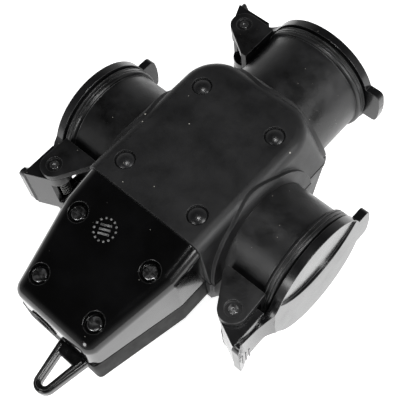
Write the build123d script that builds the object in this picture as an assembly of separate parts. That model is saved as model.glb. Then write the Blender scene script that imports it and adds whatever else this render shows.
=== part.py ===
from build123d import *
import math
import os

os.makedirs("parts", exist_ok=True)

# Three-way mains distributor for outdoor use, in millimetres.
# +Z is up, the flat underside of the body is z = 0, and the origin lies under the
# crossing of the socket axes. One socket looks along +X, one along -X and one along +Y.
# The cable compartment and its hanging loop point along -Y.

# Fits
fitGap = 0.1                 # between fixed pieces that fit into each other
flatGap = 0.05               # between fixed faces that meet
past = 1.0                   # how far a cutter runs past the surface it cuts
farPast = 5.0                # and past faces that slope or stand proud
wide = (-150.0, 150.0)       # wider than the whole part
tolerance = 0.01

# Sockets, each in its own frame: x outwards along its axis, the hinge on the -y side
barrelRadius = 28.0
barrelWall = 3.9
barrelReach = 28.0           # mouth plane beyond the body's side wall, side sockets
frontReach = 38.2            # and the front socket beyond the end wall
beadProud = 1.6              # rounded collar behind the lid
beadLength = 5.4
beadRounding = 1.4
beadGroove = 0.5
beadGrooves = (1.6, 3.4)     # behind the mouth
padWidth = 6.0               # raised ring on the body round each barrel
padProud = 1.8
flangeLip = 3.0              # foot of the barrel, held behind the body wall
flangeThickness = 2.4
mouthStep = 1.6              # plain collar in front of the socket face, inside the bore
mouthLength = 9.0
wellWall = 2.75              # standard earthed-socket well, inside that collar
wellDepth = 17.5
insertFloor = 4.0
pinSpacing = 19.0
pinHoleRadius = 2.75
guideWidth = 4.7             # ribs that turn the plug the right way up
guideHeight = 1.9
guideSetBack = 4.0
insertScrewOffset = 9.0
insertScrewRadius = 1.3
insertScrewHead = 2.4
insertScrewHeight = 1.6
insertScrewReach = 3.6       # behind the insert
insertScrewSlot = 0.6
insertSlotFloor = 0.9

# Body
partingRise = 3.0            # the two body shells meet this far above the socket axes
wall = 3.0                   # body shell wall
axisMargin = 1.0             # underside below the raised rings
topTrim = 0.4                # the top is this much nearer the axes than the underside
leanTop = 3.0                # the side walls lean in towards the top
leanBottom = 2.5             # and towards the underside
endLean = 1.0                # and so does the end wall
cornerMiddle = 3.0           # plan corner radii at the parting, top and underside
cornerTop = 20.0
cornerBottom = 12.0
cornerInside = 1.0
shoulderRadius = 5.5         # rounding along the top edge
undersideRadius = 4.0
sealThickness = 1.2          # rubber seal between the shells
sealSetBack = 0.9            # the seal lies this far behind the outer faces
sideRoom = 2.0               # between the barrels' feet and the side walls
nearRoom = 0.5               # and the wall at the cable side
bodyLonger = 11.8            # end wall from the centre, over the half width
heelRise = 21.0              # the underside slopes up to the cable side
heelRun = 14.0
seatDepth = 8.0              # barrel feet behind the side walls
frontSeatDepth = 4.0         # and behind the end wall
footRoom = 8.0               # cleared behind the barrels' feet
barWindowHalf = 13.0         # opening in the wall at the cable side, for the conductors
barWindowDrop = 11.0
barWindowRise = 7.0

# Lids
lidOverhang = 0.4            # past the bead
lidThickness = 4.0
lidGap = 0.8                 # between the mouth and the lid's back, filled by its seal
tabReach = 6.8               # thumb tab opposite the hinge, past the disc
tabHalfWidth = 9.8
tabCorner = 3.0
leverReach = 12.6            # thumb lever past the hinge pin
leverHalfWidth = 13.8
leverCorner = 3.5
neckHalfWidth = 7.8
neckPastPin = 0.9
leverDip = 2.6               # the lever is hollowed between the disc and its tip
leverDipExtra = 0.5
leverRootShare = 0.9         # of the lid's radius, where the lever leaves the disc
scoopDepth = 1.5
scoopArcExtra = 1.0          # radius of the scoop's edge over that of the lid
scoopRise = 0.6              # its lowest point above the lid's centre
scoopRim = 0.4
sealWidth = 3.9
sealEdge = 0.6               # the seal lies this far inside the barrel's outside
lidSealDepth = 1.0
lidSealGap = 0.1

# Hinges
hingeInset = 8.8             # pin axis behind the mouth plane
pinBeyondLid = 10.1          # pin axis past the edge of the lid
earHalfHeight = 17.3         # outer faces of the ears
earThickness = 3.0
earExtra = 0.1               # the ear's rounding over that of the lid's knuckle
earClear = 4.5               # where the ear leaves the barrel, off the body wall
earRootFar = 2.7
earRootInside = 1.5
earBase = 3.0                # web along the barrel that carries both ears
pinRadius = 1.5
pinRunning = 0.05            # running fit of the lid on its pin
pinPress = 0.01              # the pin's ends sit this far into the ears
pinHeadExtra = 0.7
pinHeadHeight = 0.8
pinDimple = 0.7
pinRecessExtra = 2.4
pinRecessDepth = 1.1
knuckleWall = 5.2            # round the pin's hole
knuckleGap = 0.4             # between the ears and the lid's arms
armWidth = 5.6
armEnd = 0.8                 # the arms stop this short of the lever's tip
armRoot = 2.5                # they start this far past the edge of the lid
armBite = 0.6                # and run this far into its back
webThickness = 2.1
webInside = 2.0              # the web between them starts here behind the pin axis
webPast = 2.5                # and this far past it
springWire = 0.9
springClear = 0.95           # between the pin and the wire
springTurns = 7
springReach = 8.6            # length of its legs from the pin axis
springRoom = 0.6             # between the coil and the arms
springLegs = ((0.35, 0.94, 0), (0.82, 0.57, 0))    # directions of its legs

# Cable compartment
compartmentGap = 0.1
compartmentLength = 60.5
taperStart = 15.5            # where its sides start to taper, from the body
compartmentStep = 3.0        # its sides are this much nearer than the body's
compartmentTaper = 9.6
coverStep = 1.2              # its top is this much lower than the body's
coverSlope = 13.8            # and falls by this much to its far end
basinStep = 21.5             # its floor above the underside, at the body
basinFall = 1.0              # and this much lower at its far end
compartmentWall = 3.0
coverRadius = 6.0            # rounding of the cover's edges
basinRadius = 2.5
compartmentSeal = 0.8
compartmentSealSetBack = 0.7
nearScrews = (11.2, 3.1)     # from the side, and past the start of the taper
farScrews = (6.4, 11.9)      # from the side's end, and short of the far end
screwRecessRadius = 4.8
screwRecessDepth = 3.2
screwHeadRadius = 3.4
screwHeadHeight = 2.2
screwHeadRounding = 0.6
screwFoot = 8.0              # the screws end this far above the basin's underside
screwShankRadius = 1.75
screwBossRadius = 6.3
screwPostRadius = 4.8
slotWidth = 1.3
slotDepth = 1.2

# Caps and screws of the body
capSpacingY = 50.4
capCentreY = 2.3
capRadius = 4.7
capDome = 1.9
capRecess = 0.9
capStemRadius = 3.3
capStemLength = 4.0
capUnder = 4.0               # from the stem down to the seat of the screw
bodyScrewRadius = 1.6
bodyScrewHead = 3.0
bodyScrewHeight = 2.55
bodyScrewSlot = 0.8
bodyScrewSlotDepth = 1.2
bodyScrewFoot = 12.0
bodyScrewHole = 9.0
bodyBossRadius = 4.0

# Cable entry and its clamp
entryX = -8.0
entryHole = 4.2
grommetWall = 1.8
grommetLip = 1.4
grommetOuter = 0.5
grommetInner = 1.6
clampSetBack = 24.0          # from the far end
clampLength = 6.0
clampReach = 9.0             # clamp screws either side of the cable
clampMargin = 3.0
clampSplit = 2.0             # the cradle ends this far under the cable's centre
clampNip = 0.5               # the clamp stands off the cradle, to grip the cable
clampPlate = 2.4
clampArch = 2.0
clampScrewRadius = 1.25
clampScrewHead = 2.3
clampScrewHeight = 1.6
clampScrewSlot = 0.7
clampScrewSlotDepth = 0.7
clampScrewDepth = 8.5        # under the parting
clampHoleDepth = 9.0

# Hanging loop
loopX = 11.0
loopTipX = 11.4
loopHalf = 8.7
loopReach = 17.8             # tip centre past the compartment's end
loopTipRadius = 5.2
loopBand = 3.5
loopLeg = 5.0                # the band is this wide where it meets the wall
loopRootBar = 5.3
loopRootDepth = 0.5
loopStandOff = 0.2
loopBite = 0.3               # its neck reaches this far out of the wall, into the band
loopHeight = 4.8
loopRounding = 1.1
loopDrop = 0.4               # under the parting
neckHalf = 5.5
neckKey = 2.0                # the key inside the wall is this much wider
neckDepth = 2.4

# Conductors
barWidth = 5.0
barThickness = 1.2
railReach = 6.0              # the bars run this far into the terminal block
tailSize = 6.4
tailLength = 5.0
sleeveRadius = 3.1
sleeveBore = 2.4
sleeveLength = 14.0
sleeveSlit = 0.8
sleeveRoot = 3.0             # not slit
rivetRadius = 1.2
rivetHead = 2.0
rivetHeadHeight = 0.9
rivetFoot = 0.3              # the rivets stop this short of the tails' middle
clipWidth = 6.0
clipThickness = 1.0
clipRoom = 0.2
clipStrap = 1.4              # half length of the strap, past the well's wall
clipSlotInside = 1.6
clipSlotOutside = 2.2
clipBend = 10.5              # the arms bend, stand in furthest and end behind the socket face
clipBulge = 8.0
clipTip = 5.5
clipBulgeInside = 1.4
clipTipInside = 0.4
earthDrop = 7.0              # earth bar under the socket axes
blockHalf = 14.5
blockSetBack = 14.5          # terminal block from the body
blockClear = 5.0             # and from the clamp
blockDrop = 8.4              # its floor under the socket axes
blockRise = 9.0
blockSlotRise = 2.6          # room for a conductor above each bar
terminalScrewSetBack = 2.6
terminalScrewRadius = 1.7
terminalScrewDrop = 1.0
terminalScrewSlot = 0.7
terminalScrewSlotDepth = 1.0

barrelBore = barrelRadius - barrelWall
mouthBore = barrelBore - mouthStep
wellRadius = mouthBore - wellWall
beadRadius = barrelRadius + beadProud
padRadius = barrelRadius + padWidth
flangeRadius = barrelRadius + flangeLip
halfWidthMiddle = flangeRadius + wall + sideRoom
halfWidthTop = halfWidthMiddle - leanTop
halfWidthBottom = halfWidthMiddle - leanBottom
bodyNear = -(flangeRadius + wall + nearRoom)
bodyFar = halfWidthMiddle + bodyLonger
axisHeight = padRadius + axisMargin
bodyHeight = 2 * axisHeight - topTrim
partingHeight = axisHeight + partingRise
partingLow = partingHeight - sealThickness / 2
partingHigh = partingHeight + sealThickness / 2

sideMouth = halfWidthMiddle + barrelReach
frontShift = bodyFar + frontReach - sideMouth
insertFace = sideMouth - mouthLength
insertBack = insertFace - wellDepth - insertFloor
sideFlange = halfWidthMiddle - seatDepth
frontFlange = bodyFar - frontShift - frontSeatDepth
sides = {"right": sideFlange, "left": sideFlange, "front": frontFlange}

lidRadius = beadRadius + lidOverhang
scoopRadius = lidRadius + scoopArcExtra
lidBack = sideMouth + lidGap
lidFront = lidBack + lidThickness
tabRadius = lidRadius + tabReach
hingeX = sideMouth - hingeInset
hingeOffset = lidRadius + pinBeyondLid
leverTip = hingeOffset + leverReach
neckOffset = hingeOffset + neckPastPin
sealOuter = barrelRadius - sealEdge
sealInner = sealOuter - sealWidth
pinRecessRadius = pinRadius + pinRecessExtra
pinHeadRadius = pinRadius + pinHeadExtra
knuckleRadius = pinRadius + pinRunning + knuckleWall
springRadius = pinRadius + springClear + springWire / 2
earRadius = knuckleRadius + earExtra
earNear = halfWidthMiddle + earClear
earFar = sideMouth - earRootFar
armTop = earHalfHeight - earThickness - knuckleGap

compartmentFar = bodyNear - compartmentLength
compartmentBend = bodyNear - taperStart
compartmentHalf = halfWidthMiddle - compartmentStep
compartmentEndHalf = compartmentHalf - compartmentTaper
coverNearTop = bodyHeight - coverStep
coverEndTop = coverNearTop - coverSlope
basinEndFloor = basinStep - basinFall
coverScrews = ((compartmentHalf - nearScrews[0], compartmentBend - nearScrews[1]),
               (compartmentEndHalf - farScrews[0], compartmentFar + farScrews[1]))
capX = sideFlange - flangeThickness - bodyBossRadius - fitGap
grommetRadius = entryHole + grommetWall
grommetFlange = grommetRadius + grommetLip
clampY = compartmentFar + clampSetBack
loopTipY = compartmentFar - loopReach
blockNear = bodyNear - blockSetBack
blockFar = clampY + clampLength / 2 + blockClear
railEnd = blockNear - railReach
barHalf = barWidth / 2
pinOffset = pinSpacing / 2


def block(xRange, yRange, zRange):
    size = [high - low for low, high in (xRange, yRange, zRange)]
    middle = [(high + low) / 2 for low, high in (xRange, yRange, zRange)]
    return Pos(*middle) * Box(*size)


def rodX(radius, start, end, y=0.0, z=0.0):
    return Pos((start + end) / 2, y, z) * Rot(0, 90, 0) * Cylinder(radius, end - start)


def rodY(radius, start, end, x=0.0, z=0.0):
    return Pos(x, (start + end) / 2, z) * Rot(90, 0, 0) * Cylinder(radius, end - start)


def rodZ(radius, start, end, x=0.0, y=0.0):
    return Pos(x, y, (start + end) / 2) * Cylinder(radius, end - start)


def outline(points, height=0.0):
    return Pos(0, 0, height) * make_face(Polyline(*points, close=True))


def upright(face, low, high):
    # a plan face pushed up from one height to another
    return Pos(0, 0, low) * extrude(face, high - low, dir=(0, 0, 1))


def slottedScrew(head, height, shank, slot, slotDeep, x, y, foot, seat):
    # a screw from its foot up to the seat, with a slotted head on it
    top = seat + height
    body = rodZ(shank, foot, seat, x, y) + rodZ(head, seat, top, x, y)
    return body - block((x - head - past, x + head + past), (y - slot / 2, y + slot / 2),
                        (top - slotDeep, top + past))


def write(name, shape):
    export_step(shape, f"parts/{name}.step")


def place(shape, side):
    # from the socket frame to the body: the left and front sockets are mirrored ones
    if side == "right":
        return Pos(0, 0, axisHeight) * shape
    mirrored = mirror(shape, about=Plane.YZ)
    if side == "left":
        return Pos(0, 0, axisHeight) * mirrored
    return Pos(0, frontShift, axisHeight) * Rot(0, 0, -90) * mirrored


# ---- body shells

def bodyPlan(halfWidth, near, far, corner, height):
    face = outline([(-halfWidth, near), (halfWidth, near), (halfWidth, far), (-halfWidth, far)])
    face = fillet(face.vertices().group_by(Axis.Y)[-1], corner)
    return Pos(0, 0, height) * face


def bodyForm(inset, proud=0.0):
    # upper and lower halves of the body's form, moved in by the inset or out by proud
    shift = proud - inset
    middle = bodyPlan(halfWidthMiddle + shift, bodyNear + inset, bodyFar + shift,
                      cornerMiddle if inset == 0 else cornerInside, partingHeight)
    top = bodyPlan(halfWidthTop + shift, bodyNear + inset, bodyFar - endLean + shift,
                   cornerTop + shift, bodyHeight - inset)
    bottom = bodyPlan(halfWidthBottom + shift, bodyNear + inset, bodyFar - endLean + shift,
                      cornerBottom + shift, inset)
    return loft([middle, top], ruled=True), loft([bottom, middle], ruled=True)


def shoulderEdges(form, height):
    # the rim's edges, without the one that meets the cable compartment
    rim = form.faces().sort_by(Axis.Z)[-1 if height > 0 else 0].edges()
    return [edge for edge in rim if edge.center().Y > bodyNear + past]


def socketAxisRod(side, radius, start, end):
    return place(rodX(radius, start, end), side)


def heel(inset):
    # what lies under the sloping part of the underside, raised by a wall for the hollow
    rise = inset * math.hypot(heelRise, heelRun) / heelRun
    heelEnd = bodyNear + heelRun
    under = make_face(Polyline((bodyNear, heelRise + rise), (heelEnd, rise), (heelEnd, -past),
                               (bodyNear - past, -past), (bodyNear - past, heelRise + rise), close=True))
    return extrude(Plane.YZ * under, 2 * halfWidthMiddle, both=True)


upperForm, lowerForm = bodyForm(0.0)
upperForm = fillet(shoulderEdges(upperForm, 1), shoulderRadius)
lowerForm = fillet(shoulderEdges(lowerForm, -1), undersideRadius) - heel(0.0)
upperHollow, lowerHollow = bodyForm(wall)
lowerHollow = lowerHollow - heel(wall)
upperProud, lowerProud = bodyForm(0.0, padProud)
upperProud = fillet(shoulderEdges(upperProud, 1), shoulderRadius)
capSpots = [(sx * capX, capCentreY + sy * capSpacingY / 2)
            for sx in (-1, 1) for sy in (-1, 1)]


def bodyShell(form, hollow, proudForm, low, high):
    shell = form - hollow
    for side, seat in sides.items():
        pad = socketAxisRod(side, padRadius, seat, sideMouth) & proudForm
        shell = shell + pad
    for x, y in capSpots:
        shell = shell + (rodZ(bodyBossRadius, past, bodyHeight - past, x, y) & form)
    for side, seat in sides.items():
        inside = seat - flangeThickness - footRoom
        shell = shell - socketAxisRod(side, barrelRadius + fitGap, inside, sideMouth)
        shell = shell - socketAxisRod(side, flangeRadius + fitGap, inside, seat)
    return shell & block(wide, wide, (low, high))


barWindow = block((-barWindowHalf, barWindowHalf), (bodyNear - past, bodyNear + wall + past),
                  (axisHeight - barWindowDrop, axisHeight + barWindowRise))
topShell = bodyShell(upperForm, upperHollow, upperProud, partingHigh, bodyHeight + farPast)
bottomShell = bodyShell(lowerForm, lowerHollow, lowerProud, -farPast, partingLow)
capSeat = bodyHeight - capRecess
screwSeat = capSeat - capStemLength - capUnder
for x, y in capSpots:
    topShell = topShell - rodZ(capRadius + fitGap, capSeat, bodyHeight + farPast, x, y)
    topShell = topShell - rodZ(capStemRadius + fitGap, screwSeat, bodyHeight, x, y)
    topShell = topShell - rodZ(bodyScrewRadius + fitGap, partingHeight, bodyHeight, x, y)
    bottomShell = bottomShell - rodZ(bodyScrewRadius + flatGap, bodyScrewHole, partingHeight, x, y)
topShell = topShell - barWindow
bottomShell = bottomShell - barWindow
write("body_top_shell", topShell)
write("body_bottom_shell", bottomShell)

sealPlan = bodyPlan(halfWidthMiddle - sealSetBack, bodyNear + sealSetBack,
                    bodyFar - sealSetBack, cornerMiddle, 0)
sealHollow = bodyPlan(halfWidthMiddle - wall, bodyNear + wall, bodyFar - wall, cornerInside, 0)
bodySeal = upright(sealPlan - sealHollow, partingLow + flatGap, partingHigh - flatGap)
for side, seat in sides.items():
    inside = seat - flangeThickness - footRoom
    bodySeal = bodySeal - socketAxisRod(side, flangeRadius + fitGap, inside, sideMouth)
bodySeal = bodySeal - barWindow
write("body_seal", bodySeal)

caps = []
bodyScrews = []
domeRadius = (capRadius ** 2 + capDome ** 2) / (2 * capDome)
for x, y in capSpots:
    dome = Pos(x, y, capSeat + capDome - domeRadius) * Sphere(domeRadius)
    head = dome & rodZ(capRadius, capSeat, bodyHeight + capDome, x, y)
    caps.append(head + rodZ(capStemRadius, capSeat - capStemLength, capSeat, x, y))
    bodyScrews.append(slottedScrew(bodyScrewHead, bodyScrewHeight, bodyScrewRadius, bodyScrewSlot,
                                   bodyScrewSlotDepth, x, y, bodyScrewFoot, screwSeat + flatGap))
write("screw_caps", Compound(caps))
write("body_screws", Compound(bodyScrews))


# ---- sockets

def earFace():
    inside = -(barrelRadius - earRootInside)
    root = Polyline((earNear, inside), (earFar, inside), (earFar, inside - earBase),
                    (earNear, inside - earBase), close=True)
    knuckle = Edge.make_circle(earRadius, Plane((hingeX, -hingeOffset, 0)))
    return make_hull(knuckle.edges() + root.edges())


def barrelHousing(seat):
    mouth = sideMouth
    barrel = rodX(barrelRadius, seat - flangeThickness, mouth)
    barrel = barrel + rodX(flangeRadius, seat - flangeThickness, seat - flatGap)
    bead = rodX(beadRadius, mouth - beadLength, mouth)
    barrel = barrel + fillet(bead.edges().filter_by(GeomType.CIRCLE), beadRounding)
    for back in beadGrooves:
        ring = rodX(beadRadius + past, mouth - back - beadGroove / 2, mouth - back + beadGroove / 2)
        barrel = barrel - (ring - rodX(beadRadius - beadGroove, seat, mouth + past))
    for low in (earHalfHeight - earThickness, -earHalfHeight):
        barrel = barrel + upright(earFace(), low, low + earThickness)
    inside = -(barrelRadius - earRootInside)
    barrel = barrel + block((earNear, earFar), (inside - earBase, inside), (-earHalfHeight, earHalfHeight))
    barrel = barrel - rodX(barrelBore, seat - flangeThickness - past, insertFace)
    barrel = barrel - rodX(mouthBore, insertFace - past, mouth + past)
    barrel = barrel - rodZ(pinRadius, -earHalfHeight - past, earHalfHeight + past, hingeX, -hingeOffset)
    recess = rodZ(pinRecessRadius, earHalfHeight - pinRecessDepth, earHalfHeight + past, hingeX, -hingeOffset)
    return barrel - recess - mirror(recess, about=Plane.XY)


def contactInsert():
    floor = insertBack + insertFloor
    front = insertFace - guideSetBack
    slotHalf = clipWidth / 2 + clipRoom
    body = rodX(barrelBore - fitGap, insertBack, insertFace - flatGap)
    body = body - rodX(wellRadius, floor, insertFace + past)
    rib = block((floor, front), (wellRadius - guideHeight, wellRadius + past),
                (-guideWidth / 2, guideWidth / 2))
    body = body + rib + mirror(rib, about=Plane.XZ)
    slot = block((insertBack - past, front), (-slotHalf, slotHalf),
                 (wellRadius - clipSlotInside, wellRadius + clipSlotOutside))
    body = body - slot - mirror(slot, about=Plane.XY)
    for side in (-1, 1):
        body = body - rodX(pinHoleRadius, insertBack - past, insertFace, side * pinOffset)
        body = body - rodX(insertScrewRadius + fitGap, insertBack - past, insertFace,
                           0.0, side * insertScrewOffset)
    return body


def insertScrews():
    screws = []
    floor = insertBack + insertFloor
    for z in (-insertScrewOffset, insertScrewOffset):
        head = rodX(insertScrewHead, floor + flatGap, floor + insertScrewHeight, 0.0, z)
        shank = rodX(insertScrewRadius, insertBack - insertScrewReach, floor + flatGap, 0.0, z)
        slot = block((floor + insertSlotFloor, floor + insertScrewHeight + past),
                     (-insertScrewHead - past, insertScrewHead + past),
                     (z - insertScrewSlot / 2, z + insertScrewSlot / 2))
        screws.append(head + shank - slot)
    return Compound(screws)


def earthClip():
    # a strap behind the insert with two sprung arms that stand in the well
    back = insertBack - clipThickness - flatGap
    reach = wellRadius + clipStrap
    strap = block((back, insertBack - flatGap), (-clipWidth / 2, clipWidth / 2), (-reach, reach))
    for z in (-insertScrewOffset, insertScrewOffset):
        strap = strap - rodX(insertScrewRadius + clipRoom, back - past, insertBack, 0.0, z)
    bend = insertFace - clipBend
    bulge = insertFace - clipBulge
    tip = insertFace - clipTip
    bulgeHeight = wellRadius - clipBulgeInside
    tipHeight = wellRadius - clipTipInside
    arm = Polyline((back, reach), (back, reach - clipThickness), (bend, reach - clipThickness),
                   (bulge, bulgeHeight), (tip, tipHeight), (tip, tipHeight + clipThickness),
                   (bulge, bulgeHeight + clipThickness), (bend + clipThickness / 2, reach), close=True)
    arm = extrude(Plane.XZ * make_face(arm), clipWidth / 2, both=True)
    return strap + arm + mirror(arm, about=Plane.XY)


def contactSleeve(y, barAbove):
    end = insertBack - flatGap
    start = end - sleeveLength
    tail = start + tailLength
    sleeve = rodX(sleeveRadius, tail, end, y) - rodX(sleeveBore, tail, end + past, y)
    sleeve = sleeve - block((tail + sleeveRoot, end + past), (y - sleeveSlit / 2, y + sleeveSlit / 2),
                            (-sleeveRadius - past, sleeveRadius + past))
    square = block((start, tail), (y - tailSize / 2, y + tailSize / 2), (-tailSize / 2, tailSize / 2))
    hole = rodZ(rivetRadius + flatGap, 0, tailSize, start + tailLength / 2, y)
    hole = hole if barAbove else mirror(hole, about=Plane.XY)
    return sleeve + square - hole


# ---- lids

def lidPlan():
    # front view of the lid, drawn with the socket's y across and z up
    disc = Circle(lidRadius)
    tab = Circle(tabRadius) & (Pos(tabRadius / 2, 0) * Rectangle(tabRadius, 2 * tabHalfWidth))
    tab = fillet(tab.vertices().group_by(Axis.X)[-1], tabCorner)
    root = leverRootShare * lidRadius
    rootHalf = math.sqrt(lidRadius ** 2 - root ** 2)
    cornerStart = (leverCorner - leverTip, leverHalfWidth)
    cornerEnd = (-leverTip, leverHalfWidth - leverCorner)
    upper = ThreePointArc((-root, rootHalf), (-neckOffset, neckHalfWidth), cornerStart)
    corner = RadiusArc(cornerStart, cornerEnd, -leverCorner)
    end = Line(cornerEnd, (-leverTip, 0))
    half = upper + corner + end
    closing = Line((-leverTip, 0), (-root, 0)) + Line((-root, 0), (-root, rootHalf))
    tongue = make_face(half + closing)
    tongue = tongue + mirror(tongue, about=Plane.XZ)
    return disc + tab + tongue


def lid():
    plate = Pos(lidBack, 0, 0) * extrude(Plane.YZ * lidPlan(), lidThickness)
    # the lever's hollow front, a wide cylinder cut along z
    span = (leverTip - lidRadius) / 2 + leverDipExtra
    hollowRadius = (span ** 2 + leverDip ** 2) / (2 * leverDip)
    middle = -(leverTip + lidRadius) / 2
    hollow = rodZ(hollowRadius, -leverHalfWidth - farPast, leverHalfWidth + farPast,
                  lidFront + hollowRadius - leverDip, middle)
    keep = rodX(lidRadius, lidBack - past, lidFront + farPast)
    plate = plate - (hollow - keep)
    # the finger scoop above an arc across the front face
    scoop = rodX(scoopRadius, lidFront - scoopDepth, lidFront + past, 0.0, scoopRadius + scoopRise)
    scoop = scoop & rodX(lidRadius - scoopRim, lidFront - scoopDepth - past, lidFront + past)
    tilt = math.degrees(math.atan(scoopDepth / (lidRadius + scoopRim)))
    slope = Rot(0, tilt, 0) * block((0, farPast), wide, (-past, 2 * lidRadius))
    plate = plate - (scoop & (Pos(lidFront - scoopDepth, 0, 0) * slope))
    groove = rodX(sealOuter + flatGap, lidBack - past, lidBack + lidSealDepth)
    groove = groove - rodX(sealInner - flatGap, lidBack - farPast, lidBack + farPast)
    return plate - groove + lidArms()


def lidArms():
    tip = armEnd - leverTip
    start = -lidRadius - armRoot
    root = Polyline((lidBack, start), (lidBack + armBite, start), (lidBack + armBite, tip), (lidBack, tip),
                    close=True)
    knuckle = Edge.make_circle(knuckleRadius, Plane((hingeX, -hingeOffset, 0)))
    arm = make_hull(knuckle.edges() + root.edges())
    arms = upright(arm, armTop - armWidth, armTop) + upright(arm, -armTop, armWidth - armTop)
    # the web runs only along the outer side, so the spring has room inside
    web = upright(arm - offset(arm, -webThickness), -armTop, armTop)
    outerSide = block((hingeX - webInside, lidBack + past), (tip - past, -hingeOffset - webPast),
                      (-armTop, armTop))
    bore = rodZ(pinRadius + pinRunning, -armTop - past, armTop + past, hingeX, -hingeOffset)
    return arms + (web & outerSide) - bore


def lidSeal():
    ring = rodX(sealOuter, sideMouth + lidSealGap, lidBack + lidSealDepth - flatGap)
    return ring - rodX(sealInner, sideMouth, lidBack + farPast)


def hingePin():
    end = earHalfHeight - pinRecessDepth
    pin = rodZ(pinRadius, -end - pinPress, end + pinPress, hingeX, -hingeOffset)
    head = rodZ(pinHeadRadius, end, end + pinHeadHeight, hingeX, -hingeOffset)
    head = head - rodZ(pinDimple, end + pinHeadHeight / 2, end + pinHeadHeight + past, hingeX, -hingeOffset)
    return pin + head + mirror(head, about=Plane.XY)


def lidSpring():
    inside = armTop - armWidth - springRoom
    height = 2 * inside - 2 * springWire
    path = Helix(height / springTurns, height, springRadius)
    section = Plane(origin=path @ 0, z_dir=path % 0) * Circle(springWire / 2)
    coil = Pos(hingeX, -hingeOffset, -height / 2) * sweep(section, path, is_frenet=True)
    legs = []
    for z, direction in zip((-height / 2, height / 2), springLegs):
        point = Vector(hingeX + springRadius, -hingeOffset, z)
        ball = Pos(point) * Sphere(springWire / 2)
        reach = springReach - springRadius
        leg = Pos(0, 0, reach / 2) * Cylinder(springWire / 2, reach)
        legs.append(ball + Plane(origin=point, z_dir=Vector(*direction)) * leg)
    return coil + legs[0] + legs[1]


for side, seat in sides.items():
    write(f"{side}_barrel", place(barrelHousing(seat), side))
    write(f"{side}_socket_insert", place(contactInsert(), side))
    write(f"{side}_insert_screws", place(insertScrews(), side))
    write(f"{side}_live_sleeve", place(contactSleeve(pinSpacing / 2, True), side))
    write(f"{side}_neutral_sleeve", place(contactSleeve(-pinSpacing / 2, False), side))
    write(f"{side}_earth_clip", place(earthClip(), side))
    write(f"{side}_lid", place(lid(), side))
    write(f"{side}_lid_seal", place(lidSeal(), side))
    write(f"{side}_hinge_pin", place(hingePin(), side))
    write(f"{side}_lid_spring", place(lidSpring(), side))


# ---- cable compartment

def compartmentPlan(inset):
    near = bodyNear - compartmentGap
    half = compartmentHalf - inset
    endHalf = compartmentEndHalf - inset
    far = compartmentFar + inset
    return outline([(-half, near), (-half, compartmentBend), (-endHalf, far), (endHalf, far),
                    (half, compartmentBend), (half, near)])


def compartmentSide(nearHeight, endHeight, level, inset):
    # side profile between the parting level and a sloping face
    near = bodyNear - compartmentGap
    far = compartmentFar
    shift = -inset if nearHeight > level else inset
    face = make_face(Polyline((near, level), (far, level), (far, endHeight + shift),
                              (near, nearHeight + shift), close=True))
    return extrude(Plane.YZ * face, halfWidthMiddle, both=True)


def compartmentForm(nearHeight, endHeight, level, inset):
    plan = upright(compartmentPlan(inset), 0, bodyHeight + farPast)
    return plan & compartmentSide(nearHeight, endHeight, level, inset)


def roundOuter(form, level, radius):
    # every edge is rounded except those on the parting face and on the body's side
    near = bodyNear - compartmentGap
    kept = [edge for edge in form.edges()
            if not all(abs(vertex.Z - level) < tolerance for vertex in edge.vertices())
            and not all(abs(vertex.Y - near) < tolerance for vertex in edge.vertices())]
    return fillet(kept, radius)


def coverTop(y):
    share = (bodyNear - y) / (bodyNear - compartmentFar)
    return coverNearTop + share * (coverEndTop - coverNearTop)


def basinFloor(y):
    share = (bodyNear - y) / (bodyNear - compartmentFar)
    return basinStep + share * (basinEndFloor - basinStep)


coverLow = partingHeight + compartmentSeal / 2
basinHigh = partingHeight - compartmentSeal / 2
screwSpots = [(side * x, y) for x, y in coverScrews for side in (-1, 1)]
entryRod = rodY(grommetRadius + flatGap, compartmentFar - farPast,
                compartmentFar + compartmentWall + farPast, entryX, partingHeight)

coverSolid = roundOuter(compartmentForm(coverNearTop, coverEndTop, coverLow, 0.0), coverLow, coverRadius)
cover = coverSolid - compartmentForm(coverNearTop, coverEndTop, coverLow, compartmentWall)
for x, y in screwSpots:
    cover = cover + (rodZ(screwBossRadius, coverLow, bodyHeight, x, y) & coverSolid)
for x, y in screwSpots:
    seat = coverTop(y) - screwRecessDepth
    cover = cover - rodZ(screwRecessRadius, seat, bodyHeight + farPast, x, y)
    cover = cover - rodZ(screwShankRadius + fitGap, coverLow - past, bodyHeight, x, y)
cover = cover - entryRod
write("compartment_cover", cover)

neckRoom = neckHalf + fitGap
loopTop = partingHeight - loopDrop
loopBottom = loopTop - loopHeight
loopNeck = block((loopX - neckRoom, loopX + neckRoom),
                 (compartmentFar - past, compartmentFar + compartmentWall + past),
                 (loopBottom - fitGap, partingHeight + past))
basinSolid = roundOuter(compartmentForm(basinStep, basinEndFloor, basinHigh, 0.0), basinHigh, basinRadius)
basin = basinSolid - compartmentForm(basinStep, basinEndFloor, basinHigh, compartmentWall)
for x, y in screwSpots:
    basin = basin + (rodZ(screwPostRadius, 0, basinHigh, x, y) & basinSolid)
clampAcross = (entryX - clampReach - clampMargin, entryX + clampReach + clampMargin)
clampAlong = (clampY - clampLength / 2, clampY + clampLength / 2)
clampSpots = (entryX - clampReach, entryX + clampReach)
cradleTop = partingHeight - clampSplit
basin = basin + (block(clampAcross, clampAlong, (0, cradleTop)) & basinSolid)
for x, y in screwSpots:
    holeFoot = basinFloor(y) + compartmentWall + past
    basin = basin - rodZ(screwShankRadius + flatGap, holeFoot, partingHeight, x, y)
clampHoleFoot = partingHeight - clampHoleDepth
for x in clampSpots:
    basin = basin - rodZ(clampScrewRadius + flatGap, clampHoleFoot, partingHeight, x, clampY)
basin = basin - rodY(entryHole, clampY - clampLength, clampY + clampLength, entryX, partingHeight)
basin = basin - entryRod - loopNeck
write("compartment_basin", basin)

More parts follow.
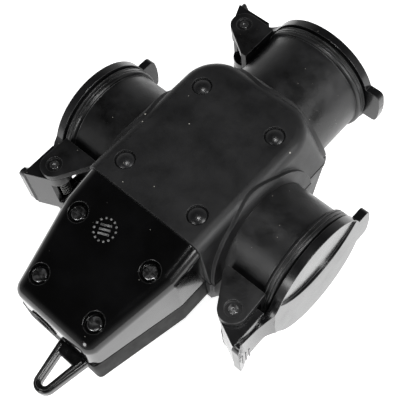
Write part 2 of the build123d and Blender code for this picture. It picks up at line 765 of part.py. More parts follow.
sealRing = upright(compartmentPlan(compartmentSealSetBack) - compartmentPlan(compartmentWall),
                   basinHigh + flatGap, coverLow - flatGap)
sealRing = sealRing - entryRod - loopNeck
write("compartment_seal", sealRing)

coverScrewSet = []
for x, y in screwSpots:
    seat = coverTop(y) - screwRecessDepth + flatGap
    screw = slottedScrew(screwHeadRadius, screwHeadHeight, screwShankRadius, slotWidth, slotDepth,
                         x, y, basinFloor(y) + screwFoot, seat)
    rim = rodZ(screwHeadRadius, seat - farPast, seat + screwHeadHeight, x, y)
    rim = fillet(rim.edges().filter_by(GeomType.CIRCLE).sort_by(Axis.Z)[-1], screwHeadRounding)
    coverScrewSet.append(screw & (rim + rodZ(screwShankRadius, 0, seat, x, y)))
write("cover_screws", Compound(coverScrewSet))

wallOutside = compartmentFar - flatGap
wallInside = compartmentFar + compartmentWall + flatGap
grommet = rodY(grommetRadius, wallOutside, wallInside, entryX, partingHeight)
grommet = grommet + rodY(grommetFlange, wallOutside - grommetOuter, wallOutside, entryX, partingHeight)
grommet = grommet + rodY(grommetFlange, wallInside, wallInside + grommetInner, entryX, partingHeight)
grommet = grommet - rodY(entryHole, wallOutside - farPast, wallInside + farPast, entryX, partingHeight)
write("cable_entry_grommet", grommet)

saddleFoot = cradleTop + clampNip
saddleTop = saddleFoot + clampPlate
saddle = block(clampAcross, clampAlong, (saddleFoot, saddleTop))
saddle = saddle + rodY(entryHole + clampArch, *clampAlong, entryX, partingHeight)
saddle = saddle & block(wide, clampAlong, (saddleFoot, bodyHeight))
saddle = saddle - rodY(entryHole, clampY - clampLength, clampY + clampLength, entryX, partingHeight)
clampScrewSet = []
for x in clampSpots:
    saddle = saddle - rodZ(clampScrewRadius + fitGap, saddleFoot - past, saddleTop + past, x, clampY)
    clampScrewSet.append(slottedScrew(clampScrewHead, clampScrewHeight, clampScrewRadius, clampScrewSlot,
                                      clampScrewSlotDepth, x, clampY, partingHeight - clampScrewDepth,
                                      saddleTop + flatGap))
write("cable_clamp", saddle)
write("clamp_screws", Compound(clampScrewSet))


# ---- hanging loop

def loopOutline(rootHalf, rootY, tipRadius, tipX, tipY):
    root = Polyline((loopX - rootHalf, rootY), (loopX + rootHalf, rootY),
                    (loopX + rootHalf, rootY - loopRootDepth), (loopX - rootHalf, rootY - loopRootDepth),
                    close=True)
    tip = Edge.make_circle(tipRadius, Plane((tipX, tipY, 0)))
    return make_hull(tip.edges() + root.edges())


outer = loopOutline(loopHalf, compartmentFar - loopStandOff, loopTipRadius, loopTipX, loopTipY)
innerTip = loopTipRadius - loopBand
inner = loopOutline(loopHalf - loopLeg, compartmentFar - loopRootBar, innerTip, loopTipX, loopTipY)
loop = upright(outer, loopBottom, loopTop) - upright(inner, loopBottom - past, loopTop + past)
rims = [edge for edge in loop.edges() if edge.center().Y < compartmentFar - past
        and abs(edge.center().Z - (loopTop + loopBottom) / 2) > loopHeight / 4]
loop = fillet(rims, loopRounding)
innerFace = compartmentFar + compartmentWall
keyEnd = innerFace + neckDepth
keyHalf = neckHalf + neckKey
loopHeights = (loopBottom, loopTop)
loop = loop + block((loopX - neckHalf, loopX + neckHalf), (compartmentFar - loopBite, keyEnd), loopHeights)
loop = loop + block((loopX - keyHalf, loopX + keyHalf), (innerFace + fitGap, keyEnd), loopHeights)
write("hanging_loop", loop)


# ---- conductors

def conductor(level, centre, frontEnd, reachX):
    # a flat cross: a bar between the side sockets, another from the front socket to the terminals
    heights = (level, level + barThickness)
    plate = block((-reachX, reachX), (centre - barHalf, centre + barHalf), heights)
    return plate + block((centre - barHalf, centre + barHalf), (railEnd, frontEnd), heights)


tailX = insertBack - flatGap - sleeveLength + tailLength / 2
frontTailY = frontShift + tailX
liveLevel = axisHeight + tailSize / 2 + flatGap
neutralLevel = axisHeight - tailSize / 2 - barThickness - flatGap
earthLevel = axisHeight - earthDrop
clipBack = insertBack - flatGap - clipThickness
live = conductor(liveLevel, pinOffset, frontTailY + barHalf, tailX + barHalf)
neutral = conductor(neutralLevel, -pinOffset, frontTailY + barHalf, tailX + barHalf)
earth = conductor(earthLevel, 0.0, clipBack + frontShift - flatGap, clipBack - flatGap)
liveSpots = ((tailX, pinOffset), (-tailX, pinOffset), (pinOffset, frontTailY))
neutralSpots = ((tailX, -pinOffset), (-tailX, -pinOffset), (-pinOffset, frontTailY))
rivets = []
for x, y in liveSpots:
    top = liveLevel + barThickness + flatGap
    live = live - rodZ(rivetRadius + flatGap, liveLevel - past, top, x, y)
    rivets.append(rodZ(rivetRadius, axisHeight + rivetFoot, top, x, y)
                  + rodZ(rivetHead, top, top + rivetHeadHeight, x, y))
for x, y in neutralSpots:
    low = neutralLevel - flatGap
    neutral = neutral - rodZ(rivetRadius + flatGap, low, neutralLevel + barThickness + past, x, y)
    rivets.append(rodZ(rivetRadius, low, axisHeight - rivetFoot, x, y)
                  + rodZ(rivetHead, low - rivetHeadHeight, low, x, y))
write("live_bar", live)
write("neutral_bar", neutral)
write("earth_bar", earth)
write("bar_rivets", Compound(rivets))

terminalFloor = axisHeight - blockDrop
terminalTop = axisHeight + blockRise
terminal = block((-blockHalf, blockHalf), (blockFar, blockNear), (terminalFloor, terminalTop))
terminalScrews = []
for level, x in ((liveLevel, pinOffset), (neutralLevel, -pinOffset), (earthLevel, 0.0)):
    channel = barHalf + fitGap
    terminal = terminal - block((x - channel, x + channel), (blockFar - past, blockNear + past),
                                (level - fitGap, level + barThickness + blockSlotRise))
    y = railEnd + terminalScrewSetBack
    terminal = terminal - rodZ(terminalScrewRadius + fitGap, level, terminalTop + past, x, y)
    screwTop = terminalTop - terminalScrewDrop
    screw = rodZ(terminalScrewRadius, level + barThickness + fitGap, screwTop, x, y)
    slot = block((x - terminalScrewRadius - past, x + terminalScrewRadius + past),
                 (y - terminalScrewSlot / 2, y + terminalScrewSlot / 2),
                 (screwTop - terminalScrewSlotDepth, terminalTop))
    terminalScrews.append(screw - slot)
write("terminal_block", terminal)
write("terminal_screws", Compound(terminalScrews))
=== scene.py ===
import bpy
import bmesh
import math
from mathutils import Matrix, Vector


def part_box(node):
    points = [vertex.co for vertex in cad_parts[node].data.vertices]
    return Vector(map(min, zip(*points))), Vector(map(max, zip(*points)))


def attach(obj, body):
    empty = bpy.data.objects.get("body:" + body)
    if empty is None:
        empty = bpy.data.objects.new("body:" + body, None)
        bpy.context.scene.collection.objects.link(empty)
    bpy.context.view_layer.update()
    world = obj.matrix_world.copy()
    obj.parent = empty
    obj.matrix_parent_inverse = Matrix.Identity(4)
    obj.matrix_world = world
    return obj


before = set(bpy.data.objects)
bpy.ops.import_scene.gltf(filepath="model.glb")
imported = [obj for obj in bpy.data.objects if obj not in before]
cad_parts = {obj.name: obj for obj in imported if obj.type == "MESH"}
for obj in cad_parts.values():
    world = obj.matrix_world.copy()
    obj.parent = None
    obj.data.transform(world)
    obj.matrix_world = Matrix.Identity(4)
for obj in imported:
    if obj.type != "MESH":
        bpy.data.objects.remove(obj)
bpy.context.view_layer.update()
scene = bpy.context.scene
print("frame loaded")

# ---- camera

cameraView = {
    "azimuth": 51.5,       # degrees round the object from the cable side
    "elevation": 60.99,
    "roll": -10.56,
    "distance": 0.43298,   # metres from the target
    "target": (-0.00835, 0.00374, 0.00997),
    "lens": 77.67,         # mm on a 36 mm wide sensor
}


def addCamera(view):
    azimuth = math.radians(view["azimuth"])
    elevation = math.radians(view["elevation"])
    roll = math.radians(view["roll"])
    back = Vector((math.sin(azimuth) * math.cos(elevation),
                   -math.cos(azimuth) * math.cos(elevation), math.sin(elevation)))
    right = Vector((math.cos(azimuth), math.sin(azimuth), 0.0))
    up = back.cross(right)
    turnedRight = math.cos(roll) * right + math.sin(roll) * up
    turnedUp = math.cos(roll) * up - math.sin(roll) * right
    data = bpy.data.cameras.new("camera")
    data.lens = view["lens"]
    data.sensor_width = 36.0
    data.clip_start = 0.01
    camera = bpy.data.objects.new("camera", data)
    place = Matrix((turnedRight, turnedUp, back)).transposed().to_4x4()
    place.translation = Vector(view["target"]) + view["distance"] * back
    camera.matrix_world = place
    scene.collection.objects.link(camera)
    scene.camera = camera


addCamera(cameraView)
print("camera placed")

# ---- light and floor

studio = {
    "floorHex": "#f6f6f6",
    "floorGlow": 0.95,
    "floorHalf": 1.6,      # metres
    "floorDrop": 0.0002,   # below the object, so that no faces coincide
    "zenith": 0.015,
    "horizon": 0.45,
    "fade": (0.05, 0.85),  # heights between which the sky darkens
    "lights": (
        # name, place, aim, size, watts
        ("keyLight", (0.62, 0.10, 0.46), (0.03, 0.0, 0.03), 0.40, 3.4),
        ("sideLight", (0.02, -0.62, 0.42), (0.06, -0.02, 0.03), 0.28, 1.6),
        ("topLight", (0.16, -0.02, 0.95), (0.0, -0.02, 0.03), 0.24, 3.0),
    ),
}


def linear(hexColour):
    # sRGB hex to the linear colour that the shaders work in
    parts = [int(hexColour[i:i + 2], 16) / 255 for i in (1, 3, 5)]
    parts = [c / 12.92 if c <= 0.04045 else ((c + 0.055) / 1.055) ** 2.4 for c in parts]
    return (*parts, 1.0)


def addNode(tree, kind, values=None, links=None, **settings):
    node = tree.nodes.new(kind)
    for name, value in settings.items():
        setattr(node, name, value)
    for socket, value in (values or {}).items():
        node.inputs[socket].default_value = value
    for socket, source in (links or {}).items():
        tree.links.new(source, node.inputs[socket])
    return node


def newMaterial(name):
    material = bpy.data.materials.new(name)
    material.use_nodes = True
    material.node_tree.nodes.clear()
    return material, material.node_tree


def addStudio(light):
    world = bpy.data.worlds.new("studio")
    scene.world = world
    world.use_nodes = True
    tree = world.node_tree
    tree.nodes.clear()
    coords = addNode(tree, "ShaderNodeTexCoord")
    axes = addNode(tree, "ShaderNodeSeparateXYZ", links={0: coords.outputs["Generated"]})
    shade = addNode(tree, "ShaderNodeMapRange", {"From Min": light["fade"][0], "From Max": light["fade"][1],
                    "To Min": light["horizon"], "To Max": light["zenith"]}, {"Value": axes.outputs["Z"]},
                    interpolation_type="SMOOTHSTEP")
    glow = addNode(tree, "ShaderNodeBackground", {"Strength": 1.0}, {"Color": shade.outputs[0]})
    addNode(tree, "ShaderNodeOutputWorld", links={"Surface": glow.outputs[0]})
    for name, place, aim, size, watts in light["lights"]:
        data = bpy.data.lights.new(name, "AREA")
        data.shape = "DISK"
        data.size = size
        data.energy = watts
        lamp = bpy.data.objects.new(name, data)
        lamp.location = place
        lamp.rotation_euler = (Vector(place) - Vector(aim)).to_track_quat("Z", "Y").to_euler()
        scene.collection.objects.link(lamp)
    mesh = bpy.data.meshes.new("floor")
    half = light["floorHalf"]
    corners = [(-half, -half, 0), (half, -half, 0), (half, half, 0), (-half, half, 0)]
    mesh.from_pydata(corners, [], [(0, 1, 2, 3)])
    floor = bpy.data.objects.new("floor", mesh)
    floor.location.z = -light["floorDrop"]
    scene.collection.objects.link(floor)
    material, tree = newMaterial("paleFloor")
    shader = addNode(tree, "ShaderNodeBsdfPrincipled", {
        "Base Color": linear(light["floorHex"]), "Roughness": 0.9,
        "Emission Color": linear(light["floorHex"]), "Emission Strength": light["floorGlow"]})
    addNode(tree, "ShaderNodeOutputMaterial", links={"Surface": shader.outputs[0]})
    mesh.materials.append(material)


addStudio(studio)
scene.view_settings.view_transform = "Standard"
print("studio lit")

# ---- finishes


patternSpread = (0.3, 0.7)     # the part of a noise's range that carries its contrast
edgeTurn = (0.995, 0.80)       # how far a softened edge turns from its face, from none to all of the edge colour
speckCore = 0.6                # a speck is full strength inside this share of its radius
scoopSpread = 0.006            # leans this close to the scoop's count as the scoop
metalEdge = 0.00015            # metres
metalLineDepth = 0.00003


def perMetre(millimetres):
    # texture scale for features of that size
    return 1000.0 / millimetres


def spread(tree, noise, goal):
    # stretches the middle of a noise over the goal range
    return addNode(tree, "ShaderNodeMapRange", {"From Min": patternSpread[0], "From Max": patternSpread[1],
                   "To Min": goal[0], "To Max": goal[1]}, {"Value": noise})


def mouldedFinish(name, look):
    # a moulded surface: mottled colour, a fine grain, soft sink waves, lighter edges and light specks; the
    # edges carry wear and, on the barrels, a painted rim highlight, and the specks carry dust and, on the
    # body rubber, painted glints
    material, tree = newMaterial(name)
    coords = addNode(tree, "ShaderNodeTexCoord").outputs["Object"]
    mottle = addNode(tree, "ShaderNodeTexNoise", {"Scale": perMetre(look["mottleMm"]), "Detail": 4.0,
                     "Roughness": 0.6}, {"Vector": coords})
    grain = addNode(tree, "ShaderNodeTexNoise", {"Scale": perMetre(look["grainMm"]), "Detail": 2.0,
                    "Roughness": 0.5}, {"Vector": coords})
    waves = addNode(tree, "ShaderNodeTexNoise", {"Scale": perMetre(look["waveMm"]), "Detail": 1.0},
                    {"Vector": coords})
    # light specks: dust, and on the body rubber painted glints
    dustAndGlint = addNode(tree, "ShaderNodeTexVoronoi", {"Scale": perMetre(look["dustAndGlintMm"]), "Randomness": 1.0},
                   {"Vector": coords})
    speck = addNode(tree, "ShaderNodeMapRange", {"From Min": look["speck"],
                    "From Max": look["speck"] * speckCore},
                    {"Value": dustAndGlint.outputs["Distance"]})
    soft = addNode(tree, "ShaderNodeBevel", {"Radius": look["edgeMm"] / 1000}, samples=4)
    flat = addNode(tree, "ShaderNodeNewGeometry")
    facing = addNode(tree, "ShaderNodeVectorMath", links={0: soft.outputs[0], 1: flat.outputs["Normal"]},
                     operation="DOT_PRODUCT")
    edge = addNode(tree, "ShaderNodeMapRange", {"From Min": edgeTurn[0], "From Max": edgeTurn[1]},
                   {"Value": facing.outputs["Value"]})
    # edges take the edge colour: wear, and on the barrels a painted rim highlight
    edgeWearAndHighlight = addNode(tree, "ShaderNodeMath", links={0: edge.outputs[0], 1: mottle.outputs[0]},
                     operation="MULTIPLY")
    shade = spread(tree, mottle.outputs[0], (0.0, 1.0))
    body = addNode(tree, "ShaderNodeMix", {6: linear(look["darkHex"]), 7: linear(look["lightHex"])},
                   {0: shade.outputs[0]}, data_type="RGBA")
    withEdgeWearAndHighlight = addNode(tree, "ShaderNodeMix", {7: linear(look["edgeWearAndHighlightHex"])},
                   {0: edgeWearAndHighlight.outputs[0], 6: body.outputs[2]}, data_type="RGBA")
    withDustAndGlint = addNode(tree, "ShaderNodeMix", {7: linear(look["dustAndGlintHex"])},
                    {0: speck.outputs[0], 6: withEdgeWearAndHighlight.outputs[2]}, data_type="RGBA")
    gloss = spread(tree, mottle.outputs[0], look["roughness"])
    wave = addNode(tree, "ShaderNodeBump", {"Strength": 1.0, "Distance": look["waveDepthMm"] / 1000},
                   {"Height": waves.outputs[0], "Normal": soft.outputs[0]})
    bump = addNode(tree, "ShaderNodeBump", {"Strength": look["grainStrength"],
                   "Distance": look["grainDepthMm"] / 1000},
                   {"Height": grain.outputs[0], "Normal": wave.outputs[0]})
    finalGloss = gloss.outputs[0]
    if "scoop" in look:
        # the scoop's floor is the only face that leans by this much, and it is textured
        turned = addNode(tree, "ShaderNodeTexCoord")
        lean = addNode(tree, "ShaderNodeSeparateXYZ", links={0: turned.outputs["Normal"]})
        onScoop = addNode(tree, "ShaderNodeMath", {1: look["scoop"]["lean"], 2: scoopSpread},
                          {0: lean.outputs["Z"]}, operation="COMPARE")
        textured = addNode(tree, "ShaderNodeMix", {3: look["scoop"]["roughness"]},
                           {0: onScoop.outputs[0], 2: gloss.outputs[0]}, data_type="FLOAT")
        finalGloss = textured.outputs[0]
    shader = addNode(tree, "ShaderNodeBsdfPrincipled", {
        "IOR": look["ior"], "Specular IOR Level": look.get("shine", 0.5),
        "Coat Weight": look.get("coat", 0.0), "Coat Roughness": look.get("coatRoughness", 0.3)},
        {"Base Color": withDustAndGlint.outputs[2], "Roughness": finalGloss, "Normal": bump.outputs[0]})
    addNode(tree, "ShaderNodeOutputMaterial", links={"Surface": shader.outputs[0]})
    return material


def metalFinish(name, look):
    # plated or drawn metal: fine scratches one way, dull patches in the plating; on the cover's screws the
    # light patches are painted glints
    material, tree = newMaterial(name)
    coords = addNode(tree, "ShaderNodeTexCoord").outputs["Object"]
    stretch = addNode(tree, "ShaderNodeMapping", {"Scale": look["stretch"]}, {"Vector": coords})
    lines = addNode(tree, "ShaderNodeTexNoise", {"Scale": perMetre(look["lineMm"]), "Detail": 3.0},
                    {"Vector": stretch.outputs[0]})
    patches = addNode(tree, "ShaderNodeTexNoise", {"Scale": perMetre(look["patchMm"]), "Detail": 3.0},
                      {"Vector": coords})
    tone = addNode(tree, "ShaderNodeMix", {6: linear(look["darkHex"]), 7: linear(look["lightHex"])},
                   {0: patches.outputs[0]}, data_type="RGBA")
    gloss = spread(tree, patches.outputs[0], look["roughness"])
    soft = addNode(tree, "ShaderNodeBevel", {"Radius": metalEdge}, samples=4)
    bump = addNode(tree, "ShaderNodeBump", {"Strength": 0.4, "Distance": metalLineDepth},
                   {"Height": lines.outputs[0], "Normal": soft.outputs[0]})
    shader = addNode(tree, "ShaderNodeBsdfPrincipled", {"Metallic": 1.0},
                     {"Base Color": tone.outputs[2], "Roughness": gloss.outputs[0],
                      "Normal": bump.outputs[0]})
    addNode(tree, "ShaderNodeOutputMaterial", links={"Surface": shader.outputs[0]})
    return material


mouldedLooks = {
    # thermoplastic elastomer over the shells: matte, with the mould's spark-eroded grain; its light specks
    # are partly dust and partly painted glints
    "body_rubber": {"darkHex": "#0f0f10", "lightHex": "#1a1a1b", "edgeWearAndHighlightHex": "#3a3a3a", "dustAndGlintHex": "#b4b1a9",
                    "roughness": (0.40, 0.56), "ior": 1.5,
                    "mottleMm": 14.0, "grainMm": 0.5, "grainDepthMm": 0.12, "grainStrength": 0.35,
                    "waveMm": 30.0, "waveDepthMm": 0.2, "dustAndGlintMm": 9.0, "speck": 0.045, "edgeMm": 0.6},
    # the same rubber in the pressed-in caps, a little glossier from handling
    "cap_rubber": {"darkHex": "#141415", "lightHex": "#1e1e1f", "edgeWearAndHighlightHex": "#444444", "dustAndGlintHex": "#b4b1a9",
                   "roughness": (0.22, 0.34), "ior": 1.5,
                   "mottleMm": 6.0, "grainMm": 0.5, "grainDepthMm": 0.08, "grainStrength": 0.3,
                   "waveMm": 8.0, "waveDepthMm": 0.05, "dustAndGlintMm": 5.0, "speck": 0.04, "edgeMm": 0.4},
    # moulded glass-filled nylon: satin and blotchy; the lighter blotches are painted reflection patches, and
    # the light edge colour is a painted rim highlight
    "barrel_plastic": {"darkHex": "#080808", "lightHex": "#202021", "edgeWearAndHighlightHex": "#6a6a6a",
                       "dustAndGlintHex": "#8a8780", "roughness": (0.24, 0.46), "ior": 1.52,
                       "mottleMm": 16.0, "grainMm": 0.8, "grainDepthMm": 0.12,
                       "grainStrength": 0.35, "waveMm": 10.0, "waveDepthMm": 0.25, "dustAndGlintMm": 4.5,
                       "speck": 0.05, "edgeMm": 0.5},
    # polycarbonate lids from a polished mould, hazed by fine scratches
    "lid_plastic": {"darkHex": "#0f0f10", "lightHex": "#1a1a1b", "edgeWearAndHighlightHex": "#6a6a6a", "dustAndGlintHex": "#99968e",
                    "roughness": (0.16, 0.26), "ior": 1.54, "coat": 0.1, "coatRoughness": 0.12,
                    "scoop": {"lean": 0.0489, "roughness": 0.85},
                    "mottleMm": 16.0, "grainMm": 0.7, "grainDepthMm": 0.03, "grainStrength": 0.25,
                    "waveMm": 18.0, "waveDepthMm": 0.12, "dustAndGlintMm": 5.5, "speck": 0.045, "edgeMm": 0.5},
    # gloss ABS cover: deep black, slight flow waves
    "cover_plastic": {"darkHex": "#050505", "lightHex": "#0a0a0b", "edgeWearAndHighlightHex": "#4a4a4a", "dustAndGlintHex": "#77756f",
                      "roughness": (0.1, 0.2), "ior": 1.52, "coat": 0.3, "coatRoughness": 0.06,
                      "mottleMm": 20.0, "grainMm": 0.8, "grainDepthMm": 0.02, "grainStrength": 0.2,
                      "waveMm": 14.0, "waveDepthMm": 0.10, "dustAndGlintMm": 6.0, "speck": 0.04, "edgeMm": 0.6},
    # the basin under the cover: dull flexible PVC that swallows the light off the floor
    "basin_pvc": {"darkHex": "#070707", "lightHex": "#0e0e0e", "edgeWearAndHighlightHex": "#3a3a3a", "dustAndGlintHex": "#6b6963",
                  "roughness": (0.42, 0.6), "ior": 1.5, "shine": 0.12,
                  "mottleMm": 8.0, "grainMm": 0.7, "grainDepthMm": 0.08, "grainStrength": 0.3,
                  "waveMm": 12.0, "waveDepthMm": 0.1, "dustAndGlintMm": 6.0, "speck": 0.04, "edgeMm": 0.6},
    # the same gloss black in the loop, scuffed where it hangs
    "loop_plastic": {"darkHex": "#070707", "lightHex": "#101011", "edgeWearAndHighlightHex": "#707070", "dustAndGlintHex": "#77756f",
                     "roughness": (0.12, 0.28), "ior": 1.52, "coat": 0.2, "coatRoughness": 0.1,
                     "mottleMm": 5.0, "grainMm": 0.8, "grainDepthMm": 0.03, "grainStrength": 0.3,
                     "waveMm": 6.0, "waveDepthMm": 0.05, "dustAndGlintMm": 6.0, "speck": 0.04, "edgeMm": 0.4},
    # soft seal rubber, dull and dusty
    "seal_rubber": {"darkHex": "#0b0b0b", "lightHex": "#161616", "edgeWearAndHighlightHex": "#2b2b2b", "dustAndGlintHex": "#5d5b56",
                    "roughness": (0.6, 0.8), "ior": 1.5,
                    "mottleMm": 5.0, "grainMm": 0.6, "grainDepthMm": 0.1, "grainStrength": 0.4,
                    "waveMm": 9.0, "waveDepthMm": 0.05, "dustAndGlintMm": 3.0, "speck": 0.05, "edgeMm": 0.3},
    # bright patches painted on the raised mark as glints, mottled with dark
    "glint_painted_mark": {"darkHex": "#0b0b0b", "lightHex": "#8c8c8c", "edgeWearAndHighlightHex": "#b0b0b0", "dustAndGlintHex": "#77756f",
                     "roughness": (0.25, 0.45), "ior": 1.5,
                     "mottleMm": 1.6, "grainMm": 0.4, "grainDepthMm": 0.03, "grainStrength": 0.3,
                     "waveMm": 3.0, "waveDepthMm": 0.02, "dustAndGlintMm": 5.0, "speck": 0.03, "edgeMm": 0.2},
    # thermoset socket insert, matte dark grey
    "insert_plastic": {"darkHex": "#262627", "lightHex": "#303031", "edgeWearAndHighlightHex": "#5c5c5c",
                       "dustAndGlintHex": "#8c8981", "roughness": (0.4, 0.55), "ior": 1.55,
                       "mottleMm": 7.0, "grainMm": 0.6, "grainDepthMm": 0.06,
                       "grainStrength": 0.3, "waveMm": 12.0, "waveDepthMm": 0.05, "dustAndGlintMm": 5.0,
                       "speck": 0.04, "edgeMm": 0.4},
    # cream urea terminal block
    "terminal_plastic": {"darkHex": "#cfc9b6", "lightHex": "#ddd7c6", "edgeWearAndHighlightHex": "#ece8dc",
                         "dustAndGlintHex": "#8c8981", "roughness": (0.35, 0.5), "ior": 1.55,
                         "mottleMm": 6.0, "grainMm": 0.6, "grainDepthMm": 0.05,
                         "grainStrength": 0.3, "waveMm": 8.0, "waveDepthMm": 0.04, "dustAndGlintMm": 5.0,
                         "speck": 0.03, "edgeMm": 0.4},
}
metalLooks = {
    # rolled brass strip
    "brass": {"darkHex": "#a8823c", "lightHex": "#cfae68", "roughness": (0.22, 0.36), "patchMm": 5.0,
              "lineMm": 0.8, "stretch": (1.0, 0.08, 1.0)},
    # nickel plated spring strip
    "clip_steel": {"darkHex": "#a9a69e", "lightHex": "#cbc8c0", "roughness": (0.18, 0.32), "patchMm": 5.0,
                   "lineMm": 0.7, "stretch": (0.08, 1.0, 1.0)},
    # drawn spring wire, oiled
    "spring_steel": {"darkHex": "#6d6d6c", "lightHex": "#a5a5a3", "roughness": (0.2, 0.34), "patchMm": 2.0,
                     "lineMm": 0.4, "stretch": (1.0, 1.0, 0.2)},
    # black oxide on the cover's screws; the bright patches spread over it at random are painted glints
    "black_oxide_painted_glints": {"darkHex": "#2c2c2d", "lightHex": "#b9b9ba", "roughness": (0.14, 0.34), "patchMm": 2.2,
                    "lineMm": 0.4, "stretch": (1.0, 0.2, 1.0)},
    # bright zinc on turned steel
    "screw_steel": {"darkHex": "#9b9b9c", "lightHex": "#d6d6d6", "roughness": (0.16, 0.32), "patchMm": 1.6,
                    "lineMm": 0.4, "stretch": (1.0, 0.2, 1.0)},
}
finishes = {slot: mouldedFinish(slot, look) for slot, look in mouldedLooks.items()}
finishes.update({slot: metalFinish(slot, look) for slot, look in metalLooks.items()})
print("finishes made")

# which finish each CAD piece takes, by the end of its name
finishByName = {
    "body_top_shell": "body_rubber", "body_bottom_shell": "body_rubber", "body_seal": "seal_rubber",
    "screw_caps": "cap_rubber", "body_screws": "screw_steel", "_barrel": "barrel_plastic",
    "_socket_insert": "insert_plastic", "_insert_screws": "screw_steel", "_live_sleeve": "brass",
    "_neutral_sleeve": "brass", "_earth_clip": "clip_steel", "_lid": "lid_plastic",
    "_lid_seal": "seal_rubber", "_hinge_pin": "screw_steel", "_lid_spring": "spring_steel",
    "compartment_cover": "cover_plastic", "compartment_basin": "basin_pvc",
    "compartment_seal": "seal_rubber", "cover_screws": "black_oxide_painted_glints", "cable_entry_grommet": "seal_rubber",
    "cable_clamp": "insert_plastic", "clamp_screws": "screw_steel", "hanging_loop": "loop_plastic",
    "live_bar": "brass", "neutral_bar": "brass", "earth_bar": "brass", "bar_rivets": "brass",
    "terminal_block": "terminal_plastic", "terminal_screws": "screw_steel",
}


def finishFor(node):
    endings = [ending for ending in finishByName if node.endswith(ending)]
    return finishByName[max(endings, key=len)]


for node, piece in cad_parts.items():
    piece.data.materials.clear()
    piece.data.materials.append(finishes[finishFor(node)])
print("cad pieces finished")

# ---- pieces grown by geometry nodes


def newTree(name, sizes, followsPath=False):
    # a tree with named inputs and one geometry output; some follow a path given as edges
    tree = bpy.data.node_groups.new(name, "GeometryNodeTree")
    if followsPath:
        tree.interface.new_socket("Path", in_out="INPUT", socket_type="NodeSocketGeometry")
    tree.interface.new_socket("Geometry", in_out="OUTPUT", socket_type="NodeSocketGeometry")
    for label, value in sizes.items():
        kind = "NodeSocketInt" if isinstance(value, int) else "NodeSocketFloat"
        socket = tree.interface.new_socket(label, in_out="INPUT", socket_type=kind)
        socket.default_value = value
    return tree, addNode(tree, "NodeGroupInput").outputs


def endTree(tree, geometry, material):
    real = addNode(tree, "GeometryNodeRealizeInstances", links={0: geometry})
    coloured = addNode(tree, "GeometryNodeSetMaterial", {"Material": material}, {0: real.outputs[0]})
    addNode(tree, "NodeGroupOutput", links={0: coloured.outputs[0]})


def grow(name, tree, sizes, place, body, path=()):
    # runs a tree on an empty mesh, or on a path, and keeps the result as a plain piece
    start = bpy.data.meshes.new(name + "Source")
    start.from_pydata(path, [(i, i + 1) for i in range(len(path) - 1)], [])
    source = bpy.data.objects.new(name + "Source", start)
    scene.collection.objects.link(source)
    modifier = source.modifiers.new("shape", "NODES")
    modifier.node_group = tree
    for item in tree.interface.items_tree:
        if item.item_type == "SOCKET" and item.in_out == "INPUT" and item.name in sizes:
            modifier[item.identifier] = sizes[item.name]
    graph = bpy.context.evaluated_depsgraph_get()
    mesh = bpy.data.meshes.new_from_object(source.evaluated_get(graph))
    bpy.data.objects.remove(source)
    mesh.transform(place)
    cleanMesh(mesh)
    mesh.name = name
    piece = bpy.data.objects.new(name, mesh)
    scene.collection.objects.link(piece)
    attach(piece, body)
    return piece


def cleanMesh(mesh):
    shape = bmesh.new()
    shape.from_mesh(mesh)
    bmesh.ops.remove_doubles(shape, verts=shape.verts, dist=1e-6)
    bmesh.ops.recalc_face_normals(shape, faces=shape.faces)
    shape.to_mesh(mesh)
    shape.free()


# where the sockets and the compartment are, from the frame
lidLow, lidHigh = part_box("right_lid")
axisHeight = (lidLow[2] + lidHigh[2]) / 2
lidFront = lidHigh[0]
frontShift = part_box("front_lid")[1][1] - lidFront
leverTip = -lidLow[1]
coverLow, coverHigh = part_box("compartment_cover")
loopLow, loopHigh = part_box("hanging_loop")

sidePlaces = {
    "right": Matrix.Translation((0, 0, axisHeight)),
    "left": Matrix.Translation((0, 0, axisHeight)) @ Matrix.Scale(-1, 4, (1, 0, 0)),
    "front": Matrix.Translation((0, frontShift, axisHeight)) @ Matrix.Rotation(-math.pi / 2, 4, "Z")
             @ Matrix.Scale(-1, 4, (1, 0, 0)),
}

# raised grips across the tip of each lever
leverGrip = {"Ribs": 3, "Pitch": 0.0021, "Length": 0.009, "Width": 0.0007, "Height": 0.0004}
gripSpot = {"setBack": 0.0024, "sink": 0.0004}


def gripTree():
    tree, given = newTree("leverGrip", leverGrip)
    line = addNode(tree, "GeometryNodeMeshLine", links={"Count": given["Ribs"]})
    step = addNode(tree, "ShaderNodeCombineXYZ", links={"Y": given["Pitch"]})
    tree.links.new(step.outputs[0], line.inputs["Offset"])
    size = addNode(tree, "ShaderNodeCombineXYZ",
                   links={"X": given["Height"], "Y": given["Width"], "Z": given["Length"]})
    rib = addNode(tree, "GeometryNodeMeshCube", {"Vertices X": 2, "Vertices Y": 2, "Vertices Z": 9},
                  {"Size": size.outputs[0]})
    ribs = addNode(tree, "GeometryNodeInstanceOnPoints",
                   links={"Points": line.outputs[0], "Instance": rib.outputs[0]})
    endTree(tree, ribs.outputs[0], finishes["lid_plastic"])
    return tree


gripShape = gripTree()
for side, place in sidePlaces.items():
    spot = Matrix.Translation((lidFront - gripSpot["sink"], gripSpot["setBack"] - leverTip, 0))
    grow(f"{side}_lever_grip", gripShape, leverGrip, place @ spot, f"{side}_lid_body")
print("lever grips made")

# raised mark on the cover: a ring of pips round three parallel bars, one for each socket
coverMark = {"Pips": 14, "Ring": 0.0052, "Pip": 0.0006, "Bars": 3, "Pitch": 0.002, "First bar": -0.002,
             "Bar length": 0.0052, "Bar width": 0.0009, "Height": 0.0009}
markPlace = {"x": -0.0064, "y": -0.0517, "turn": 22.0}
coverFall = 0.0138     # from the body to the far end


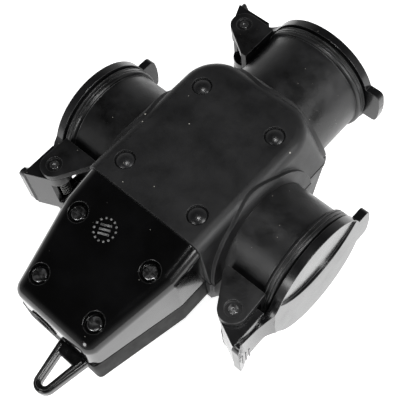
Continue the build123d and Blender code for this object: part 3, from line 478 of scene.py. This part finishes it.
def markTree():
    tree, given = newTree("coverMark", coverMark)
    ring = addNode(tree, "GeometryNodeMeshCircle", links={"Vertices": given["Pips"], "Radius": given["Ring"]})
    pip = addNode(tree, "GeometryNodeMeshIcoSphere", {"Subdivisions": 2}, {"Radius": given["Pip"]})
    pips = addNode(tree, "GeometryNodeInstanceOnPoints", links={"Points": ring.outputs[0],
                   "Instance": pip.outputs[0]})
    size = addNode(tree, "ShaderNodeCombineXYZ",
                   links={"X": given["Bar length"], "Y": given["Bar width"], "Z": given["Height"]})
    bar = addNode(tree, "GeometryNodeMeshCube", links={"Size": size.outputs[0]})
    start = addNode(tree, "ShaderNodeCombineXYZ", links={"Y": given["First bar"]})
    step = addNode(tree, "ShaderNodeCombineXYZ", links={"Y": given["Pitch"]})
    row = addNode(tree, "GeometryNodeMeshLine", links={"Count": given["Bars"], "Offset": step.outputs[0],
                  "Start Location": start.outputs[0]})
    bars = addNode(tree, "GeometryNodeInstanceOnPoints", links={"Points": row.outputs[0],
                   "Instance": bar.outputs[0]})
    both = addNode(tree, "GeometryNodeJoinGeometry", links={0: pips.outputs[0]})
    tree.links.new(bars.outputs[0], both.inputs[0])
    # the mark's bright patches are painted glints
    endTree(tree, both.outputs[0], finishes["glint_painted_mark"])
    return tree


fall = coverFall / (coverHigh[1] - coverLow[1])
markHeight = coverHigh[2] + fall * (markPlace["y"] - coverHigh[1])
markSpot = (Matrix.Translation((markPlace["x"], markPlace["y"], markHeight))
            @ Matrix.Rotation(math.atan(fall), 4, "X")
            @ Matrix.Rotation(math.radians(markPlace["turn"]), 4, "Z"))
grow("cover_mark", markTree(), coverMark, markSpot, "root")
print("cover mark made")

# raised ridges along the hanging loop, top and bottom
loopRidge = {"Width": 0.0012, "Height": 0.0011, "Steps": 72, "Rounding": 0.4, "Corner steps": 3}
loopX = (loopLow[0] + loopHigh[0]) / 2
loopLine = {"x": loopX, "rootHalf": 0.0062, "rootY": coverLow[1] - 0.0015, "tipX": loopX + 0.0004,
            "tipY": loopLow[1] + 0.0052, "tipRadius": 0.00345, "tipPoints": 15,
            "tipStart": 195, "tipSweep": 150}    # degrees round the tip


def ridgeTree():
    tree, given = newTree("loopRidge", loopRidge, followsPath=True)
    line = addNode(tree, "GeometryNodeMeshToCurve", links={0: given["Path"]})
    even = addNode(tree, "GeometryNodeResampleCurve",
                   links={"Curve": line.outputs[0], "Count": given["Steps"]})
    bead = addNode(tree, "GeometryNodeCurvePrimitiveQuadrilateral",
                   links={"Width": given["Width"], "Height": given["Height"]})
    corner = addNode(tree, "ShaderNodeMath", links={0: given["Height"], 1: given["Rounding"]},
                     operation="MULTIPLY")
    eased = addNode(tree, "GeometryNodeFilletCurve", links={"Curve": bead.outputs[0],
                    "Radius": corner.outputs[0], "Count": given["Corner steps"]}, mode="POLY")
    sweep = addNode(tree, "GeometryNodeCurveToMesh", {"Fill Caps": True},
                    {"Curve": even.outputs[0], "Profile Curve": eased.outputs[0]})
    endTree(tree, sweep.outputs[0], finishes["loop_plastic"])
    return tree


def loopPath(line):
    # one leg out from the wall, round the tip and back along the other
    points = [(line["x"] - line["rootHalf"], line["rootY"], 0.0)]
    for i in range(line["tipPoints"]):
        angle = math.radians(line["tipStart"] + line["tipSweep"] * i / (line["tipPoints"] - 1))
        points.append((line["tipX"] + line["tipRadius"] * math.cos(angle),
                       line["tipY"] + line["tipRadius"] * math.sin(angle), 0.0))
    points.append((line["x"] + line["rootHalf"], line["rootY"], 0.0))
    return points


for end, height in (("top", loopHigh[2]), ("bottom", loopLow[2])):
    grow(f"loop_ridge_{end}", ridgeTree(), loopRidge, Matrix.Translation((0, 0, height)), "root",
         loopPath(loopLine))
print("loop ridges made")
